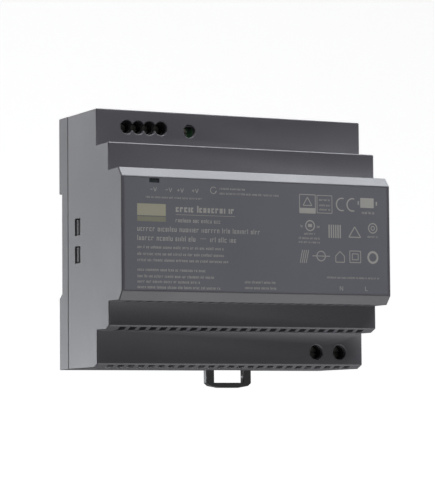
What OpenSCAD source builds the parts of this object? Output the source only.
// Stepped power supply for a 35 mm top-hat rail: moulded case, sliding rail latch, screw terminals,
// output trimmer and the converter board inside.
//
// Frame: +X is to the right seen from the front, the front faces -Y and +Z is up. The origin is the
// middle of the rail seat, on the plane where the front of the rail's flanges rests. Sizes named *_d
// are depths measured forward from the case's back face.

/* [Case] */
// Overall width of the case
case_w = 105; // [100:1:130]
// Overall height of the case
case_h = 90; // [90:1:110]
// Depth of the terminal step from the back face
shelf_d = 33.4; // [32:0.2:42]
// How far the middle step stands in front of the terminal step
mid_rise = 10.2; // [9:0.2:14]
// How far the side of the centre cap stands in front of the middle step
cap_rise = 8.3; // [8:0.1:14]
// Depth of the bevels above and below the front face
bevel_depth = 2.6; // [1:0.1:4]
// Height of the bevels above and below the front face
bevel_height = 3.1; // [1:0.1:5]
// Depth of the bevels below the two step fronts
under_bevel_depth = 3; // [1:0.1:4]
// Height of the bevels below the two step fronts
under_bevel_height = 1.3; // [0.4:0.1:1.6]
// Height of each terminal step
shelf_h = 12.8; // [12.6:0.1:16]
// Height of the centre cap at its sides
cap_h = 45.4; // [45:0.1:52]
// Wall thickness of both shells
wall = 2; // [1.6:0.1:2.4]
// Depth of the joint between the rear and front shells
split_d = 8; // [7.6:0.1:9]
// Visible gap of that joint
split_gap = 0.3; // [0.1:0.1:0.6]
// Clearance between parts that slide into each other
fit_gap = 0.15; // [0.1:0.05:0.3]

/* [Ventilation] */
// Width of one ventilation slot
vent_w = 2.3; // [1.6:0.1:2.6]
// Pitch of the ventilation slots
vent_pitch = 3.9; // [3.6:0.1:6]
// Plain margin at the ends of a row of slots
vent_margin = 3.4; // [3:0.1:12]
// Plain strip in front of each upper row of slots
vent_front_strip = 2.8; // [2:0.1:4]
// Plain strip in front of each lower row of slots, which run out through the bevels
vent_under_strip = 0.9; // [0.7:0.1:4]

/* [Rail seat] */
// Width of the top-hat rail
rail_w = 35; // [35:0.1:35.4]
// Thickness of the rail's flanges
rail_t = 1; // [1:0.1:1.3]
// Depth of the rail seat in the back face
seat_d = 2.4; // [2.3:0.1:3]
// Play of the rail in its seat, at each edge
rail_play = 0.3; // [0.2:0.1:0.6]
// How far hook and latch reach behind the flanges
rail_grip = 1.7; // [1:0.1:2.5]
// Width of one fixed hook
hook_w = 15; // [8:1:20]
// Height of the lead-in below the seat
lead_in_h = 1.7; // [1:0.1:3]

/* [Rail latch] */
// Middle of the latch to the right of the case's middle
latch_x = 12.5; // [-12:0.5:16]
// Width of the latch
latch_w = 18.4; // [16:0.2:22]
// Thickness of the latch
latch_t = 2.4; // [2.2:0.1:2.8]
// How far the pull loop hangs below the case
loop_drop = 6.4; // [6:0.1:9]
// Thickness of the loop's bar
loop_bar = 1.9; // [1.5:0.1:3]
// Width of the loop's legs
loop_leg = 3.3; // [2.5:0.1:4]
// Travel of the latch
latch_travel = 5; // [3:0.5:6]
// Clearance around the sliding latch
slide_gap = 0.2; // [0.2:0.05:0.4]
// Outside diameter of the latch spring
spring_od = 2.3; // [1.8:0.1:2.4]
// Wire diameter of the latch spring
spring_wire = 0.4; // [0.3:0.05:0.5]
// Turns of the latch spring
spring_turns = 9; // [6:1:10]
// Length of the fitted latch spring
spring_l = 11.6; // [11:0.1:14]

/* [Output terminals] */
// Number of output terminals
out_poles = 4; // [2:1:4]
// Pitch of the output terminals
out_pitch = 4.37; // [4.3:0.01:5.4]
// First output terminal from the left side
out_edge = 11.7; // [8:0.1:14]
// Screw axis from the top of the case
out_inset = 6.05; // [6:0.05:6.4]
// Diameter of the screw holes in the case
out_hole = 4.7; // [3.6:0.1:5]
// Thread diameter of the output screws
out_screw = 2; // [1.6:0.1:2]
// Head diameter of the output screws
out_head = 3.2; // [2.6:0.1:3.3]
// Travel of the output clamps
out_travel = 2.2; // [1:0.1:2.4]
// Wire gap of an open output clamp
out_wire = 3; // [2.6:0.1:3.2]

/* [Input terminals] */
// Number of input terminals
in_poles = 2; // [2:1:3]
// Pitch of the input terminals
in_pitch = 9.55; // [8:0.05:11.5]
// Last input terminal from the right side
in_edge = 9.4; // [8:0.1:12]
// Screw axis from the underside of the case
in_inset = 6; // [5.8:0.05:6.4]
// Diameter of the screw holes in the case
in_hole = 5.2; // [4:0.1:6]
// Thread diameter of the input screws
in_screw = 3; // [2.5:0.1:3]
// Head diameter of the input screws
in_head = 4.6; // [4:0.1:5]
// Travel of the input clamps
in_travel = 3.5; // [2:0.1:3.6]
// Wire gap of an open input clamp
in_wire = 4.4; // [4.2:0.1:4.5]

/* [Trimmer and indicator] */
// Trimmer axis from the left side
trim_edge = 35.9; // [34:0.1:42]
// Trimmer axis from the top of the case
trim_inset = 6.5; // [5.8:0.1:7.2]
// Diameter of the trimmer hole in the case
trim_hole = 4.4; // [3.6:0.1:5]
// Diameter of the trimmer's shaft
trim_shaft = 3; // [2:0.1:3.4]
// Middle of the indicator window from the left side
led_edge = 12.3; // [11.9:0.1:16]
// Width of the indicator window
led_w = 3.8; // [2:0.1:5]
// Height of the indicator window
led_h = 1.5; // [1:0.1:2]

/* [Board] */
// Thickness of the board
board_t = 1.6; // [1:0.2:2]
// Back of the board from the case's back face
board_d = 10.2; // [10:0.1:11]
// Gap between the board's edge and the case
board_gap = 0.5; // [0.3:0.1:0.6]
// Diameter of the mains capacitors
bulk_dia = 18; // [12:0.5:18.5]
// Length of the mains capacitors
bulk_l = 30; // [20:1:35]
// Height of the transformer core above the board
core_l = 30; // [24:1:34]
// Diameter of the output capacitors
cap_dia = 10; // [6:0.5:10.5]
// Length of the output capacitors
cap_l = 25; // [12:1:28]

/* [Hidden] */
function numbered(name, count) = [for (i = [1 : count]) str(name, "_", i)];
$fn = 48;

// overlap that makes a cut or a union clean
eps = 0.1;

// case outline
half_w = case_w / 2;
half_h = case_h / 2;
mid_half = half_h - shelf_h;
cap_half = cap_h / 2;
mid_d = shelf_d + mid_rise;
cap_d = mid_d + cap_rise;
case_d = cap_d + bevel_depth;
face_half = cap_half - bevel_height;
bevel_angle = atan2(bevel_height, bevel_depth);

// face film and its shallow recess
film_t = 0.25;
film_side = 1.1;
film_edge = 0.35;

// ventilation and wire entries
vent_back_strip = 4;
vent_step_strip = 0.5;
entry_play = 0.2;
entry_land = 1;

// rear shell
floor_d = seat_d + wall;
tongue_l = 1.6;
tongue_t = 1.2;
rail_half = rail_w / 2;
hook_play = 0.2;
hook_xs = [-half_w + 14, 0, half_w - 14];

// snap hooks of the rear shell, in windows of the front shell
snap_z = 4.9;
snap_w = 5.2;
snap_t = 1.4;
snap_window_d = [14.3, 19];
snap_window_h = 5.8;
snap_sink = 0.5;

// latch
plate_d = seat_d + slide_gap;
plate_front_d = plate_d + latch_t;
pocket_d = plate_front_d + slide_gap;
pocket_wall = 1.4;
lip_overlap = 1.6;
latch_top_z = -rail_half - 0.4;
beak_room = 0.3;
pocket_top_z = -rail_half + rail_grip + beak_room;
spring_inset = 23;
spring_top_z = -half_h + spring_inset;
spring_foot_z = spring_top_z - spring_l;
post_h = 2;
post_w = 2.6;
spring_window_w = spring_od + 0.9;
stop_gap = 0.3;

// board
board_front_d = board_d + board_t;
board_half_w = half_w - wall - board_gap;
board_half_h = half_h - wall - board_gap;
post_r = 2.2;
pin_r = 1.2;
board_hole_r = 1.4;
post_side = 5.7;
post_end = 7.5;
post_low = 6;
post_clear = 12;
board_posts = [
    [-half_w + post_side, half_h - post_end],
    [half_w - post_side, half_h - post_end],
    [-half_w + post_side, -half_h + post_end],
    [half_w - in_edge - (in_poles - 1) * in_pitch - post_clear, -half_h + post_low]
];
snap_room = 0.4;
sheet_gap = 1.2;
sheet_t = 0.4;
leg_r = 0.35;
rib_z = 25;
rib_w = 1.6;

// terminals: every depth stacks up from the front of the board
block_front_d = shelf_d - wall - 0.5;
bar_t = 0.8;
neck_t = 1;
neck_room = 0.9;
head_gap = 0.05;
thread_gap = 0.05;
tip_gap = 0.3;
block_gap = 0.3;
out_bottom = 0.8;
out_lift = 3.8;
out_over_bar = 1;
out_roof = 1.6;
out_cage_w = 3.3;
out_cage_wall = 0.5;
out_cage_h = 5.4;
out_head_h = 1.4;
out_bar_w = 1.6;
out_z = half_h - out_inset;
in_bottom = 1;
in_lift = 1;
in_over_bar = 0.6;
in_roof = 2;
in_cage_w = 6;
in_cage_wall = 0.7;
in_cage_h = 6;
in_head_h = 1.8;
in_bar_w = 3;
in_z = -half_h + in_inset;
out_cage_d = board_front_d + out_lift;
out_bar_d = out_cage_d + out_bottom + out_wire;
out_roof_d = out_bar_d + bar_t + out_over_bar;
out_neck_d = out_roof_d + out_roof + out_travel + neck_room;
out_head_d = out_neck_d + neck_t + head_gap;
in_cage_d = board_front_d + in_lift;
in_bar_d = in_cage_d + in_bottom + in_wire;
in_roof_d = in_bar_d + bar_t + in_over_bar;
in_neck_d = in_roof_d + in_roof + in_travel + neck_room;
in_head_d = in_neck_d + neck_t + head_gap;
block_inner = 5.3;
bar_root = 4.6;
pin_slot = bar_root + 0.1;

// trimmer and indicator
trim_x = -half_w + trim_edge;
trim_z = half_h - trim_inset;
trim_body_w = 6.6;
trim_body_h = 5;
trim_head = 3.8;
trim_head_h = 1.6;
trim_top_d = shelf_d - wall - 3.8;
led_x = -half_w + led_edge;
led_z = face_half - 1.35;
led_body_h = 1.4;
pipe_gap = 0.1;

// places of the large parts on the board
bulk_x = 18;
bulk_z = bulk_dia / 2 + 0.6;
core_x = -8;
core_w = 22;
core_len = 32;
core_limb = 6;
core_yoke = 5;
core_side = 3.6;
core_lift = 2;
core_d = board_front_d + core_lift;
bobbin_wall = 1.2;
bobbin_flange = 1;
bobbin_inset = core_yoke + 0.2;
bobbin_d = [core_d + bobbin_inset, core_d + core_l - bobbin_inset];
winding_r = 9.6;
sink_t = 2;
sink_h = 25;
primary_z = -mid_half + 5.2;
secondary_z = mid_half - 5.2;
package_w = 10.2;
package_h = 15;
package_t = 4.4;
package_lift = 4;
package_hole_d = board_front_d + package_lift + 12.2;
tab_t = 1.3;
screw_r = 1.2;
screw_head_r = 2.6;
screw_head_h = 1.6;
primary_xs = [-13, 3];
primary_sink_x = [-24, 12];
secondary_xs = [-26, -11];
secondary_sink_x = [-37, -2];
cap_x = -half_w + 9;
cap_pitch = cap_dia + 1.3;
ring_x = -27.5;
ring_z = -9;
ring_r0 = 3.4;
ring_r1 = 6.4;
ring_t = 6;
ring_lift = 1.6;
choke_x = half_w - 15;
choke_z = -8;
choke_r0 = 5.5;
choke_r1 = 10;
choke_t = 8;
choke_seat_r = choke_r1 + 1.4;
choke_d = board_front_d + choke_seat_r + 2.2;
low_row = 8.8;
thermistor_x = 12;
varistor_x = 4;
fuse_x = -8;
safety_xs = [-32, -25];
control_z = mid_half + 3;
opto_xs = [4, 13];
chip_xs = [22, 32];

// y of a depth measured from the back face
function yd(d) = seat_d - d;

function out_x(i) = -half_w + out_edge + i * out_pitch;
function in_x(i) = half_w - in_edge - (in_poles - 1 - i) * in_pitch;

// box between two x values, two depths and two z values
module slab(x, d, z) {
    translate([x[0], yd(d[1]), z[0]])
        cube([x[1] - x[0], d[1] - d[0], z[1] - z[0]]);
}

// round bar pointing forward between two depths
module rod(x, z, d, r) {
    translate([x, yd(d[0]), z])
        rotate([90, 0, 0])
        cylinder(r = r, h = d[1] - d[0]);
}

// round bar across the case between two x values
module cross_rod(x, d, z, r) {
    translate([x[0], yd(d), z])
        rotate([0, 90, 0])
        cylinder(r = r, h = x[1] - x[0]);
}

// outline of [depth, z] points drawn across the case between two x values
module profile(x, points) {
    translate([x[1], seat_d, 0])
        rotate([90, 0, -90])
        linear_extrude(height = x[1] - x[0])
        polygon(points);
}

// outline of [x, z] points drawn forward between two depths
module plate(d, points) {
    translate([0, yd(d[0]), 0])
        rotate([90, 0, 0])
        linear_extrude(height = d[1] - d[0])
        polygon(points);
}

// upper half of the stepped outline, moved inward by t
function upper_steps(back, t) = [
    [back, half_h - t],
    [shelf_d - t, half_h - t],
    [shelf_d - t, mid_half - t],
    [mid_d - t, mid_half - t],
    [mid_d - t, cap_half - t],
    [cap_d - t * tan(bevel_angle / 2), cap_half - t],
    [case_d - t, face_half - t * tan(45 - bevel_angle / 2)]
];

// lower half of the outline, with the bevels only on the outside
function lower_steps(back, t) = [
    for (p = upper_steps(back, t))
        each t == 0 && (p == [shelf_d, half_h] || p == [mid_d, mid_half])
            ? [[p[0] - under_bevel_depth, -p[1]], [p[0], -p[1] + under_bevel_height]]
            : [[p[0], -p[1]]]
];

function reversed(list) = [for (i = [len(list) - 1 : -1 : 0]) list[i]];
function steps(back, t) = concat(upper_steps(back, t), reversed(lower_steps(back, t)));

// ---------------------------------------------------------------- case

// one row of ventilation slots through a horizontal wall; s is 1 at the top and -1 underneath, and
// between the two x values in near the slots start at near_d
module vent_row(d, z, s, near = [], near_d = 0) {
    count = floor((case_w - 2 * vent_margin - vent_w) / vent_pitch);
    start = -count * vent_pitch / 2;
    low = min(s * (z - wall - eps), s * (z + eps));
    for (i = [0 : count]) {
        x = start + i * vent_pitch;
        short = len(near) > 0 && x > near[0] - vent_w && x < near[1] + vent_w;
        slab([x - vent_w / 2, x + vent_w / 2], [short ? near_d : d[0], d[1]],
            [low, low + wall + 2 * eps]);
    }
}

module vents(s) {
    block = s > 0
        ? [out_x(0) - out_pitch, out_x(out_poles - 1) + out_pitch]
        : [in_x(0) - in_pitch / 2, in_x(in_poles - 1) + in_pitch / 2];
    near_d = max(out_bar_d, in_bar_d) + entry_play + entry_land;
    strip = s > 0 ? vent_front_strip : vent_under_strip;
    vent_row([split_d + vent_back_strip, shelf_d - strip], half_h, s, block, near_d);
    vent_row([shelf_d + vent_step_strip, mid_d - strip], mid_half, s);
    vent_row([mid_d + vent_step_strip, cap_d - strip], cap_half, s);
}

// wire entries through the outer walls, one for each terminal
module wire_entries() {
    for (i = [0 : out_poles - 1])
        slab([out_x(i) - out_cage_w / 2, out_x(i) + out_cage_w / 2],
            [out_cage_d + out_bottom - entry_play, out_bar_d + entry_play],
            [half_h - wall - eps, half_h + eps]);
    for (i = [0 : in_poles - 1])
        slab([in_x(i) - in_cage_w / 2, in_x(i) + in_cage_w / 2],
            [in_cage_d + in_bottom - entry_play, in_bar_d + entry_play],
            [-half_h - eps, -half_h + wall + eps]);
}

module front_housing() {
    color([0.27, 0.27, 0.28])
    difference() {
        union() {
            difference() {
                profile([-half_w, half_w], steps(split_d + split_gap, 0));
                profile([-half_w + wall, half_w - wall], steps(split_d - eps, wall));
            }
            // ribs that hold the board down
            for (sx = [-1, 1])
                for (z = [-rib_z, rib_z])
                    slab(sx > 0 ? [board_half_w - 0.9, half_w - wall + eps]
                                : [-half_w + wall - eps, -board_half_w + 0.9],
                        [board_front_d, shelf_d - wall + eps], [z - rib_w / 2, z + rib_w / 2]);
        }
        vents(1);
        vents(-1);
        wire_entries();
        for (i = [0 : out_poles - 1])
            rod(out_x(i), out_z, [shelf_d - wall - eps, shelf_d + eps], out_hole / 2);
        for (i = [0 : in_poles - 1])
            rod(in_x(i), in_z, [shelf_d - wall - eps, shelf_d + eps], in_hole / 2);
        rod(trim_x, trim_z, [shelf_d - wall - eps, shelf_d + eps], trim_hole / 2);
        // snap windows
        for (sx = [-1, 1])
            for (z = [-snap_z, snap_z])
                slab(sx > 0 ? [half_w - wall - eps, half_w + eps] : [-half_w - eps, -half_w + wall + eps],
                    snap_window_d, [z - snap_window_h / 2, z + snap_window_h / 2]);
        // indicator window and the recess of the face film
        slab([led_x - led_w / 2, led_x + led_w / 2], [cap_d - wall - 1, case_d + eps],
            [led_z - led_h / 2, led_z + led_h / 2]);
        slab([-half_w + film_side, half_w - film_side], [case_d - film_t, case_d + eps],
            [-face_half + film_edge, face_half - film_edge]);
    }
}

module front_label() {
    edge = 0.05;
    color([0.35, 0.35, 0.38])
    difference() {
        slab([-half_w + film_side + edge, half_w - film_side - edge], [case_d - film_t, case_d],
            [-face_half + film_edge + edge, face_half - film_edge - edge]);
        slab([led_x - led_w / 2, led_x + led_w / 2], [case_d - film_t - eps, case_d + eps],
            [led_z - led_h / 2, led_z + led_h / 2]);
    }
}

module light_pipe() {
    bar = [led_w / 2 - pipe_gap, led_h / 2 - pipe_gap];
    color([0.75, 0.8, 0.78])
    slab([led_x - bar[0], led_x + bar[0]], [board_front_d + led_body_h + 0.3, case_d - 0.3],
        [led_z - bar[1], led_z + bar[1]]);
}

module status_led() {
    color([0.6, 0.9, 0.5]) {
        slab([led_x - 1.6, led_x + 1.6], [board_front_d, board_front_d + 0.6], [led_z - 0.8, led_z + 0.8]);
        slab([led_x - 1.1, led_x + 1.1], [board_front_d + 0.6 - eps, board_front_d + led_body_h],
            [led_z - 0.7, led_z + 0.7]);
    }
}

// one snap hook on the right side: an arm along the wall with a ramped tooth in the window
module snap_hook(z) {
    outer = half_w - wall - fit_gap;
    inner = outer - snap_t;
    tooth = half_w - snap_sink;
    d0 = snap_window_d[0] + 0.3;
    d1 = snap_window_d[1] - 0.4;
    slab([inner, outer], [floor_d - eps, d1 + 0.6], [z - snap_w / 2, z + snap_w / 2]);
    translate([0, seat_d, z - snap_w / 2])
        linear_extrude(height = snap_w)
        polygon([[outer - eps, -d0], [tooth, -d0], [tooth, -d0 - 1.7], [outer - eps, -d1]]);
}

module rear_base() {
    tongue_x = half_w - wall - fit_gap;
    tongue_z = half_h - wall - fit_gap;
    pocket_x = latch_w / 2 + slide_gap;
    mouth_x = latch_w / 2 - lip_overlap;
    seat_top = rail_half + rail_play;
    color([0.25, 0.25, 0.26])
    difference() {
        union() {
            difference() {
                slab([-half_w, half_w], [0, split_d], [-half_h, half_h]);
                slab([-half_w + wall, half_w - wall], [floor_d, split_d + eps],
                    [-half_h + wall, half_h - wall]);
                // seat of the rail, with a sloping lead-in at the latch side
                profile([-half_w - eps, half_w + eps], [
                    [-eps, seat_top], [seat_d, seat_top], [seat_d, -seat_top],
                    [0, -seat_top - lead_in_h], [-eps, -seat_top - lead_in_h]
                ]);
                back_pockets();
            }
            // tongue that centres the front shell
            difference() {
                slab([-tongue_x, tongue_x], [floor_d - eps, split_d + tongue_l], [-tongue_z, tongue_z]);
                slab([-tongue_x + tongue_t, tongue_x - tongue_t], [floor_d - 2 * eps, split_d + tongue_l + eps],
                    [-tongue_z + tongue_t, tongue_z - tongue_t]);
            }
            for (z = [-snap_z, snap_z]) {
                snap_hook(z);
                mirror([1, 0, 0]) snap_hook(z);
            }
            for (p = board_posts) {
                rod(p[0], p[1], [floor_d - eps, board_d], post_r);
                rod(p[0], p[1], [board_d - eps, board_front_d + 0.6], pin_r);
            }
            // fixed hooks behind the upper flange; windows in the floor lie under them
            for (x = hook_xs)
                slab([x - hook_w / 2, x + hook_w / 2], [0, seat_d - rail_t - 0.2],
                    [rail_half - rail_grip, seat_top + 1]);
            // raised floor over the latch pocket
            slab([latch_x - pocket_x - pocket_wall, latch_x + pocket_x + pocket_wall],
                [floor_d - eps, pocket_d + pocket_wall], [-half_h + wall - eps, pocket_top_z + pocket_wall]);
            // solid back around the latch mouth
            slab([latch_x - pocket_x - pocket_wall, latch_x + pocket_x + pocket_wall],
                [0, floor_d], [-half_h, -seat_top - lead_in_h]);
        }
        for (x = hook_xs)
            slab([x - hook_w / 2 - hook_play, x + hook_w / 2 + hook_play], [seat_d - eps, floor_d + eps],
                [rail_half - rail_grip - hook_play, seat_top]);
        // latch pocket, its mouth in the back face and its way out underneath
        slab([latch_x - pocket_x, latch_x + pocket_x], [seat_d, pocket_d], [-half_h - eps, pocket_top_z]);
        slab([latch_x - mouth_x, latch_x + mouth_x], [-eps, seat_d + eps], [-half_h - eps, pocket_top_z]);
        slab([latch_x - pocket_x, latch_x + pocket_x], [-eps, seat_d + eps],
            [-seat_top - lead_in_h - 3.2 - latch_travel, pocket_top_z]);
    }
    color([0.25, 0.25, 0.26])
    slab([latch_x - post_w / 2, latch_x + post_w / 2], [seat_d + 0.3, pocket_d + 0.4],
        [spring_foot_z - post_h, spring_foot_z]);
}

// shallow moulding pockets in the back face, above and below the rail seat
module back_pockets() {
    rim = 3;
    rib = 1.6;
    count = 5;
    cell = (case_w - 2 * rim - (count - 1) * rib) / count;
    bottom_d = seat_d - 0.2;
    upper_z = rail_half + rail_play + 4;
    lower_z = -rail_half - rail_play - lead_in_h - 3;
    for (i = [0 : count - 1]) {
        x = -half_w + rim + i * (cell + rib);
        slab([x, x + cell], [-eps, bottom_d], [upper_z, half_h - rim]);
        slab([x, x + cell], [-eps, bottom_d], [-half_h + rim, lower_z]);
    }
}

module rail_latch() {
    half = latch_w / 2;
    loop_z = -half_h - loop_drop;
    inner = half - loop_leg;
    corner = 1.2;
    rise = [0.7, 1.7];
    flat = 4;
    beak_half = half - lip_overlap - 0.4;
    beak_t = 3;
    beak_back = 0.2;
    beak_d = seat_d - rail_t - 0.2;
    color([0.2, 0.2, 0.2])
    difference() {
        union() {
            plate([plate_d, plate_front_d], [
                [latch_x - half, latch_top_z],
                [latch_x - half, loop_z + rise[1]],
                [latch_x - half + corner, loop_z + rise[0]],
                [latch_x - flat, loop_z],
                [latch_x + flat, loop_z],
                [latch_x + half - corner, loop_z + rise[0]],
                [latch_x + half, loop_z + rise[1]],
                [latch_x + half, latch_top_z]
            ]);
            // beak that grips the lower flange, with a slope that the rail rides over
            profile([latch_x - beak_half, latch_x + beak_half], [
                [plate_d + eps, latch_top_z],
                [plate_d + eps, latch_top_z - beak_t],
                [beak_back, latch_top_z - beak_t],
                [beak_back, latch_top_z + 0.3],
                [beak_d, -rail_half + rail_grip],
                [beak_d, latch_top_z]
            ]);
        }
        // finger window of the loop
        slab([latch_x - inner, latch_x + inner], [plate_d - eps, plate_front_d + eps],
            [loop_z + loop_bar, -half_h + 0.1]);
        // room of the spring
        slab([latch_x - spring_window_w / 2, latch_x + spring_window_w / 2],
            [plate_d - eps, plate_front_d + eps],
            [spring_foot_z - post_h - stop_gap, spring_top_z]);
    }
}

// coil spring on a helix, six-sided wire, standing between the foot post and the latch
module latch_spring() {
    seg = 14;
    sides = 6;
    rings = spring_turns * seg;
    coil_r = (spring_od - spring_wire) / 2;
    y = yd(plate_d + latch_t / 2);
    rise = (spring_l - spring_wire - 0.1) / rings;
    base = spring_foot_z + spring_wire / 2 + 0.05;
    points = [
        for (i = [0 : rings])
            for (k = [0 : sides - 1])
                let (a = 360 * i / seg, b = 360 * k / sides, r = coil_r + spring_wire / 2 * cos(b))
                [latch_x + r * cos(a), y + r * sin(a), base + rise * i + spring_wire / 2 * sin(b)]
    ];
    walls = [
        for (i = [0 : rings - 1])
            for (k = [0 : sides - 1])
                let (n = (k + 1) % sides)
                [i * sides + k, (i + 1) * sides + k, (i + 1) * sides + n, i * sides + n]
    ];
    caps = [[for (k = [0 : sides - 1]) k], [for (k = [sides - 1 : -1 : 0]) rings * sides + k]];
    color([0.75, 0.75, 0.72])
    polyhedron(points, concat(walls, caps), convexity = 8);
}

// ---------------------------------------------------------------- terminals

// insulating body: for each pole a clamp room, a screw neck, a driver hole, a wire entry and a slot
// for the pin of the current bar; s is 1 with the wire entries on top and -1 underneath
module terminal_block(xs, pitch, z, s, cage_w, cage_h, cage_d, wire_d, bar_d, neck_d, screw, head, bar_w) {
    outer_z = s * (half_h - wall - block_gap);
    inner_z = z - s * block_inner;
    room_w = cage_w + 2 * fit_gap;
    room_h = cage_h + 2 * fit_gap;
    last = len(xs) - 1;
    end = pitch / 2 + 0.4;
    wire_half = room_w / 2 - 0.2;
    pin_half = bar_w / 2 + 0.1;
    difference() {
        slab([xs[0] - end, xs[last] + end], [board_front_d, block_front_d],
            [min(outer_z, inner_z), max(outer_z, inner_z)]);
        for (x = xs) {
            slab([x - room_w / 2, x + room_w / 2], [cage_d - fit_gap, neck_d],
                [z - room_h / 2, z + room_h / 2]);
            rod(x, z, [neck_d - eps, neck_d + neck_t + eps], screw / 2 + thread_gap);
            rod(x, z, [neck_d + neck_t, block_front_d + eps], head / 2 + 0.2);
            slab([x - wire_half, x + wire_half], [wire_d, bar_d],
                [min(z, outer_z + s), max(z, outer_z + s)]);
            slab([x - pin_half, x + pin_half], [board_front_d - eps, bar_d + bar_t + eps],
                [min(z - s * pin_slot, z), max(z - s * pin_slot, z)]);
        }
    }
}

module output_terminal_block() {
    color([0.13, 0.35, 0.2])
    terminal_block([for (i = [0 : out_poles - 1]) out_x(i)], out_pitch, out_z, 1, out_cage_w,
        out_cage_h, out_cage_d, out_cage_d + out_bottom, out_bar_d, out_neck_d, out_screw, out_head, out_bar_w);
}

module input_terminal_block() {
    color([0.13, 0.35, 0.2])
    terminal_block([for (i = [0 : in_poles - 1]) in_x(i)], in_pitch, in_z, -1, in_cage_w,
        in_cage_h, in_cage_d, in_cage_d + in_bottom, in_bar_d, in_neck_d, in_screw, in_head, in_bar_w);
}

// current bar over the wire room, bent down to a board pin
module contact_bar(x, z, s, bar_d, bar_w, cage_h) {
    root = z - s * bar_root;
    tip = z + s * cage_h / 2;
    slab([x - bar_w / 2, x + bar_w / 2], [bar_d, bar_d + bar_t], [min(root, tip), max(root, tip)]);
    slab([x - bar_w / 2, x + bar_w / 2], [board_front_d, bar_d + eps],
        [min(root, root + s * bar_t), max(root, root + s * bar_t)]);
}

module output_contact_bars() {
    color([0.78, 0.66, 0.4])
    for (i = [0 : out_poles - 1])
        contact_bar(out_x(i), out_z, 1, out_bar_d, out_bar_w, out_cage_h);
}

module input_contact_bars() {
    color([0.78, 0.66, 0.4])
    for (i = [0 : in_poles - 1])
        contact_bar(in_x(i), in_z, -1, in_bar_d, in_bar_w, in_cage_h);
}

// slotted screw, its head towards the front
module terminal_screw(x, z, screw, head, head_d, head_h, tip_d) {
    slot_w = 0.16 * head;
    slot_d = head_d + head_h / 2;
    color([0.8, 0.8, 0.82])
    difference() {
        union() {
            rod(x, z, [tip_d, head_d + eps], screw / 2);
            rod(x, z, [head_d, head_d + head_h], head / 2);
        }
        slab([x - head, x + head], [slot_d, head_d + head_h + eps],
            [z - slot_w / 2, z + slot_w / 2]);
    }
}

module output_screw(i) {
    terminal_screw(out_x(i), out_z, out_screw, out_head, out_head_d, out_head_h, out_bar_d + bar_t + tip_gap);
}

module input_screw(i) {
    terminal_screw(in_x(i), in_z, in_screw, in_head, in_head_d, in_head_h, in_bar_d + bar_t + tip_gap);
}

// rising clamp: a frame around wire and current bar, with the screw through its roof
module wire_clamp(x, z, cage_w, cage_wall, cage_h, cage_d, bottom, roof_d, roof, screw) {
    color([0.72, 0.72, 0.7])
    difference() {
        slab([x - cage_w / 2, x + cage_w / 2], [cage_d, roof_d + roof], [z - cage_h / 2, z + cage_h / 2]);
        slab([x - cage_w / 2 + cage_wall, x + cage_w / 2 - cage_wall], [cage_d + bottom, roof_d],
            [z - cage_h, z + cage_h]);
        rod(x, z, [roof_d - eps, roof_d + roof + eps], screw / 2 + thread_gap);
    }
}

module output_clamp(i) {
    wire_clamp(out_x(i), out_z, out_cage_w, out_cage_wall, out_cage_h, out_cage_d, out_bottom,
        out_roof_d, out_roof, out_screw);
}

module input_clamp(i) {
    wire_clamp(in_x(i), in_z, in_cage_w, in_cage_wall, in_cage_h, in_cage_d, in_bottom,
        in_roof_d, in_roof, in_screw);
}

// ---------------------------------------------------------------- trimmer

module trimmer_body() {
    w = trim_body_w / 2;
    floor_t = 1;
    color([0.15, 0.3, 0.6])
    difference() {
        slab([trim_x - w, trim_x + w], [board_front_d, board_front_d + trim_body_h], [trim_z - w, trim_z + w]);
        rod(trim_x, trim_z, [board_front_d + floor_t, board_front_d + trim_body_h + eps],
            trim_shaft / 2 + 0.05);
    }
}

module trimmer_rotor() {
    slot = 0.7;
    slot_d = [trim_top_d - 0.9, trim_top_d + eps];
    short = trim_head / 2 - 0.5;
    color([0.9, 0.9, 0.86])
    difference() {
        union() {
            rod(trim_x, trim_z, [board_front_d + 1.2, trim_top_d - eps], trim_shaft / 2);
            rod(trim_x, trim_z, [trim_top_d - trim_head_h, trim_top_d], trim_head / 2);
        }
        slab([trim_x - trim_head, trim_x + trim_head], slot_d, [trim_z - slot / 2, trim_z + slot / 2]);
        slab([trim_x - slot / 2, trim_x + slot / 2], slot_d, [trim_z - short, trim_z + short]);
    }
}

// ---------------------------------------------------------------- board and its parts

module main_board() {
    notch = half_w - wall - fit_gap - snap_t - snap_room;
    notch_half = snap_w / 2 + snap_room;
    color([0.1, 0.32, 0.16])
    difference() {
        slab([-board_half_w, board_half_w], [board_d, board_front_d], [-board_half_h, board_half_h]);
        for (sx = [-1, 1])
            for (z = [-snap_z, snap_z])
                slab(sx > 0 ? [notch, half_w] : [-half_w, -notch], [board_d - eps, board_front_d + eps],
                    [z - notch_half, z + notch_half]);
        for (p = board_posts)
            rod(p[0], p[1], [board_d - eps, board_front_d + eps], board_hole_r);
    }
}

module insulation_sheet() {
    x = half_w - wall - fit_gap - snap_t - snap_room;
    z = half_h - wall - fit_gap - tongue_t - 0.3;
    d = board_d - sheet_gap;
    color([0.85, 0.84, 0.78])
    difference() {
        slab([-x, x], [d - sheet_t, d], [-z, z]);
        for (p = board_posts)
            rod(p[0], p[1], [d - sheet_t - eps, d + eps], post_r + 0.3);
    }
}

// round legs between the board and a part, at [x, z] offsets from the part's middle
module leg_pair(x, z, reach, legs) {
    for (q = legs)
        rod(x + q[0], z + q[1], [board_front_d, board_front_d + reach], leg_r);
}

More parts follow.
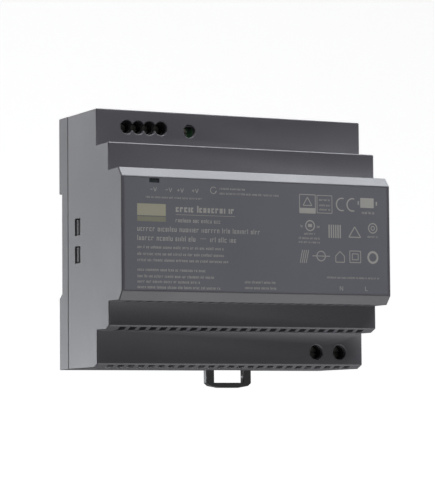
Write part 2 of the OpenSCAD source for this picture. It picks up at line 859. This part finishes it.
module mains_fuse() {
    x = fuse_x;
    z = -half_h + low_row + 1;
    r = 2.4;
    half_l = 6;
    clip_x = 5;
    clip = 0.4;
    d = board_front_d + r + 1;
    color([0.8, 0.75, 0.62]) {
        cross_rod([x - half_l, x + half_l], d, z, r);
        for (sx = [-1, 1])
            slab([x + sx * clip_x - clip, x + sx * clip_x + clip], [board_front_d, d], [z - clip, z + clip]);
    }
}

// disc component standing on edge, facing along X
module disc(x, z, r, t) {
    lift = 1.8;
    leg_h = 2.6;
    leg_z = 2.5;
    cross_rod([x - t / 2, x + t / 2], board_front_d + lift + r, z, r);
    leg_pair(x, z, leg_h, [[0, -leg_z], [0, leg_z]]);
}

module inrush_thermistor() {
    color([0.12, 0.2, 0.14])
    disc(thermistor_x, -half_h + low_row, r = 6, t = 4.6);
}

module surge_varistor() {
    color([0.1, 0.25, 0.6])
    disc(varistor_x, -half_h + low_row, r = 5.6, t = 4);
}

module line_capacitors() {
    x = half_w - 15;
    half_l = 9;
    half_t = 4.2;
    stand = 0.6;
    top = 15;
    leg_x = 7.5;
    color([0.85, 0.7, 0.12])
    for (s = [-1, 1])
        translate([x, 0, s * (mid_half - half_t - 1.4)]) {
            slab([-half_l, half_l], [board_front_d + stand, board_front_d + top], [-half_t, half_t]);
            leg_pair(0, 0, 1, [[-leg_x, 0], [leg_x, 0]]);
        }
}

// toroid standing on edge, its axis along X, drawn between two radii
module ring(x, d, z, r0, r1, t) {
    translate([x - t / 2, yd(d), z])
        rotate([0, 90, 0])
        difference() {
            cylinder(r = r1, h = t);
            translate([0, 0, -1]) cylinder(r = r0, h = t + 2);
        }
}

module choke_core() {
    color([0.35, 0.42, 0.36])
    ring(choke_x, choke_d, choke_z, choke_r0, choke_r1, choke_t);
}

// sector of wire around a standing ring: a wider ring with the core's room cut out
module choke_windings() {
    skin = 1.3;
    half_gap = 2;
    reach = 8;
    play = 0.05;
    end = 2 * choke_r1;
    color([0.72, 0.4, 0.15])
    for (s = [-1, 1])
        difference() {
            intersection() {
                ring(choke_x, choke_d, choke_z, choke_r0 - skin, choke_r1 + skin, choke_t + 2 * skin);
                slab([choke_x - choke_t, choke_x + choke_t], [choke_d - reach, choke_d + reach],
                    s > 0 ? [choke_z + half_gap, choke_z + end] : [choke_z - end, choke_z - half_gap]);
            }
            ring(choke_x, choke_d, choke_z, choke_r0 - play, choke_r1 + play, choke_t + 2 * play);
        }
}

module choke_base() {
    w = choke_t / 2 + 2;
    half_l = 8;
    h = 4;
    color([0.1, 0.1, 0.1])
    difference() {
        slab([choke_x - w, choke_x + w], [board_front_d, board_front_d + h],
            [choke_z - half_l, choke_z + half_l]);
        cross_rod([choke_x - w - 1, choke_x + w + 1], choke_d, choke_z, choke_seat_r);
    }
}

module bridge_rectifier() {
    x = half_w - 23;
    w = 15;
    h = 12;
    stand = 2;
    lead = 0.8;
    lead_x = x + 1.6;
    lead_pitch = 3.8;
    lead_z = 10.8;
    color([0.1, 0.1, 0.1]) {
        slab([x, x + w], [board_front_d + stand, board_front_d + stand + h], [9.5, 13]);
        for (i = [0 : 3])
            slab([lead_x + i * lead_pitch, lead_x + lead + i * lead_pitch],
                [board_front_d, board_front_d + stand + eps], [lead_z, lead_z + lead]);
    }
}

// electrolytic can standing on the board, with its crimp groove and scored top
module can(x, z, r, l) {
    foot = 0.4;
    groove = 0.5;
    groove_l = 2.3;
    roll = 0.6;
    rim = 1.4;
    dish = 0.3;
    score_w = 0.3;
    score_l = 1.2 * r;
    score_t = 0.2;
    translate([x, yd(board_front_d), z])
        rotate([90, 0, 0])
        difference() {
            rotate_extrude()
                polygon([
                    [0, 0],
                    [r - foot, 0],
                    [r, foot],
                    [r, groove_l - groove],
                    [r - groove, groove_l],
                    [r, groove_l + groove],
                    [r, l - roll],
                    [r - roll, l],
                    [r - rim, l],
                    [r - rim - score_t, l - dish],
                    [0, l - dish]
                ]);
            for (a = [0, 90])
                rotate([0, 0, a])
                translate([-score_l / 2, -score_w / 2, l - dish - score_t])
                cube([score_l, score_w, 1]);
        }
}

module bulk_capacitors() {
    color([0.12, 0.12, 0.16])
    for (s = [-1, 1])
        can(bulk_x, s * bulk_z, bulk_dia / 2, bulk_l);
}

module output_capacitors() {
    color([0.1, 0.14, 0.22])
    for (i = [0 : 2])
        can(cap_x, -cap_pitch * 1.5 + i * cap_pitch, cap_dia / 2, cap_l);
}

// two-part ferrite core: end plates, outer limbs and a round middle limb
module transformer_core() {
    x = [core_x - core_w / 2, core_x + core_w / 2];
    end = core_len / 2;
    inner = [core_d + core_yoke - eps, core_d + core_l - core_yoke + eps];
    color([0.2, 0.2, 0.22]) {
        for (d = [core_d, core_d + core_l - core_yoke])
            slab(x, [d, d + core_yoke], [-end, end]);
        for (s = [-1, 1])
            slab(x, inner, s > 0 ? [end - core_side, end] : [-end, -end + core_side]);
        rod(core_x, 0, inner, core_limb);
    }
}

module transformer_bobbin() {
    rim = 1.6;
    play = 0.1;
    pin_rail = 5;
    end = core_len / 2;
    color([0.08, 0.08, 0.09]) {
        difference() {
            union() {
                rod(core_x, 0, bobbin_d, core_limb + bobbin_wall);
                for (d = [bobbin_d[0], bobbin_d[1] - bobbin_flange])
                    rod(core_x, 0, [d, d + bobbin_flange], winding_r + rim);
            }
            rod(core_x, 0, [core_d, core_d + core_l], core_limb + play);
        }
        // pin rails under the core
        for (s = [-1, 1])
            slab([core_x - core_w / 2, core_x + core_w / 2], [board_front_d, core_d - play],
                s > 0 ? [end - pin_rail, end] : [-end, -end + pin_rail]);
    }
}

module transformer_winding() {
    inset = bobbin_flange + 0.1;
    color([0.85, 0.75, 0.3])
    difference() {
        rod(core_x, 0, [bobbin_d[0] + inset, bobbin_d[1] - inset], winding_r);
        rod(core_x, 0, [core_d, core_d + core_l], core_limb + bobbin_wall + 0.05);
    }
}

// flat power package with its metal tab against a heatsink face; s is the side it faces
module package(x, z, s) {
    d = board_front_d + package_lift;
    body = 9.2;
    lead_pitch = 2.54;
    lead_w = 0.8;
    lead_t = 0.5;
    face = z + s * sink_t / 2;
    lead_z = face + s * 2.4;
    slab([x - package_w / 2, x + package_w / 2], [d, d + body],
        [min(face, face + s * package_t), max(face, face + s * package_t)]);
    slab([x - package_w / 2, x + package_w / 2], [d + body - eps, d + package_h],
        [min(face, face + s * tab_t), max(face, face + s * tab_t)]);
    for (i = [-1 : 1])
        slab([x + i * lead_pitch - lead_w / 2, x + i * lead_pitch + lead_w / 2], [board_front_d, d + eps],
            [lead_z - lead_t / 2, lead_z + lead_t / 2]);
}

// hole across a tab or a heatsink for its screw
module tab_hole(x, z, r) {
    translate([x, yd(package_hole_d), z - package_h]) cylinder(r = r, h = 2 * package_h);
}

// package with the screw hole through its tab
module drilled_package(x, z, s) {
    difference() {
        package(x, z, s);
        tab_hole(x, z, screw_r + 0.4);
    }
}

// plate with folded ends between two x values, with a screw hole at each x in xs
module heatsink(x, z, xs) {
    d = [board_front_d, board_front_d + sink_h];
    fold = sink_t / 2 + 3;
    fold_t = 0.8;
    difference() {
        union() {
            slab(x, d, [z - sink_t / 2, z + sink_t / 2]);
            for (end = x)
                slab([end - fold_t, end + fold_t], d, z > 0 ? [z - fold, z] : [z, z + fold]);
        }
        for (px = xs) tab_hole(px, z, screw_r + 0.05);
    }
}

module switch_transistors() {
    color([0.12, 0.12, 0.13])
    for (x = primary_xs) drilled_package(x, primary_z, 1);
}

module primary_heatsink() {
    color([0.75, 0.76, 0.78])
    heatsink(primary_sink_x, primary_z, primary_xs);
}

module output_rectifiers() {
    color([0.12, 0.12, 0.13])
    for (x = secondary_xs) drilled_package(x, secondary_z, -1);
}

module secondary_heatsink() {
    color([0.75, 0.76, 0.78])
    heatsink(secondary_sink_x, secondary_z, secondary_xs);
}

// pan-head screw through a tab into its heatsink; s is the side the package faces
module tab_screw(x, z, s) {
    translate([x, yd(package_hole_d), z + s * (sink_t / 2 + tab_t)])
        rotate([s > 0 ? 180 : 0, 0, 0]) {
            cylinder(r = screw_r, h = tab_t + sink_t);
            translate([0, 0, -screw_head_h]) cylinder(r = screw_head_r, h = screw_head_h);
        }
}

module heatsink_screws() {
    color([0.7, 0.7, 0.7]) {
        for (x = primary_xs) tab_screw(x, primary_z, 1);
        for (x = secondary_xs) tab_screw(x, secondary_z, -1);
    }
}

module output_choke_core() {
    color([0.85, 0.75, 0.2])
    translate([ring_x, yd(board_front_d + ring_lift), ring_z])
        rotate([90, 0, 0])
        difference() {
            cylinder(r = ring_r1, h = ring_t);
            translate([0, 0, -1]) cylinder(r = ring_r0, h = ring_t + 2);
        }
}

// turns of wire around the lying ring
module output_choke_winding() {
    turns = 12;
    wire = 1;
    play = 0.05;
    room = ring_r1 - ring_r0 + 2 * play;
    room_t = ring_t + 2 * play;
    color([0.75, 0.42, 0.16])
    translate([ring_x, yd(board_front_d + ring_lift), ring_z])
        rotate([90, 0, 0])
        for (i = [0 : turns - 1])
            rotate([0, 0, i * 360 / turns])
            difference() {
                translate([ring_r0 - play - wire, -wire / 2, -wire])
                    cube([room + 2 * wire, wire, ring_t + 2 * wire]);
                translate([ring_r0 - play, -wire, -play]) cube([room, 2 * wire, room_t]);
            }
}

module safety_capacitors() {
    color([0.15, 0.4, 0.75])
    for (x = safety_xs)
        disc(x, -half_h + low_row, r = 3.6, t = 3);
}

module optocouplers() {
    half_t = 2.3;
    half_l = 3.2;
    stand = 0.6;
    top = 4.2;
    leg_x = 1.3;
    leg_z = 2.8;
    color([0.92, 0.92, 0.9])
    for (x = opto_xs)
        translate([x, 0, control_z]) {
            slab([-half_t, half_t], [board_front_d + stand, board_front_d + top], [-half_l, half_l]);
            leg_pair(0, 0, stand + 0.2, [[-leg_x, -leg_z], [leg_x, -leg_z], [-leg_x, leg_z], [leg_x, leg_z]]);
        }
}

module control_chips() {
    half_l = 2.5;
    half_t = 1.95;
    top = 1.7;
    lead_pitch = 1.27;
    lead_w = 0.4;
    lead_x = -2.1;
    lead_t = 0.3;
    lead_z = [1.8, 3];
    color([0.1, 0.1, 0.1])
    for (x = chip_xs)
        translate([x, 0, control_z]) {
            slab([-half_l, half_l], [board_front_d + 0.1, board_front_d + top], [-half_t, half_t]);
            for (i = [0 : 3])
                for (s = [-1, 1])
                    slab([lead_x + i * lead_pitch, lead_x + lead_w + i * lead_pitch],
                        [board_front_d, board_front_d + lead_t],
                        s > 0 ? lead_z : [-lead_z[1], -lead_z[0]]);
        }
}

// ---------------------------------------------------------------- nodes

front_housing();
rear_base();
rail_latch();
latch_spring();
front_label();
light_pipe();
status_led();
output_terminal_block();
input_terminal_block();
output_contact_bars();
input_contact_bars();
for (i = [0 : out_poles - 1]) {
    output_screw(i);
    output_clamp(i);
}
for (i = [0 : in_poles - 1]) {
    input_screw(i);
    input_clamp(i);
}
trimmer_body();
trimmer_rotor();
main_board();
insulation_sheet();
mains_fuse();
inrush_thermistor();
surge_varistor();
line_capacitors();
choke_core();
choke_windings();
choke_base();
bridge_rectifier();
bulk_capacitors();
transformer_core();
transformer_bobbin();
transformer_winding();
switch_transistors();
primary_heatsink();
output_rectifiers();
secondary_heatsink();
heatsink_screws();
output_capacitors();
output_choke_core();
output_choke_winding();
safety_capacitors();
optocouplers();
control_chips();
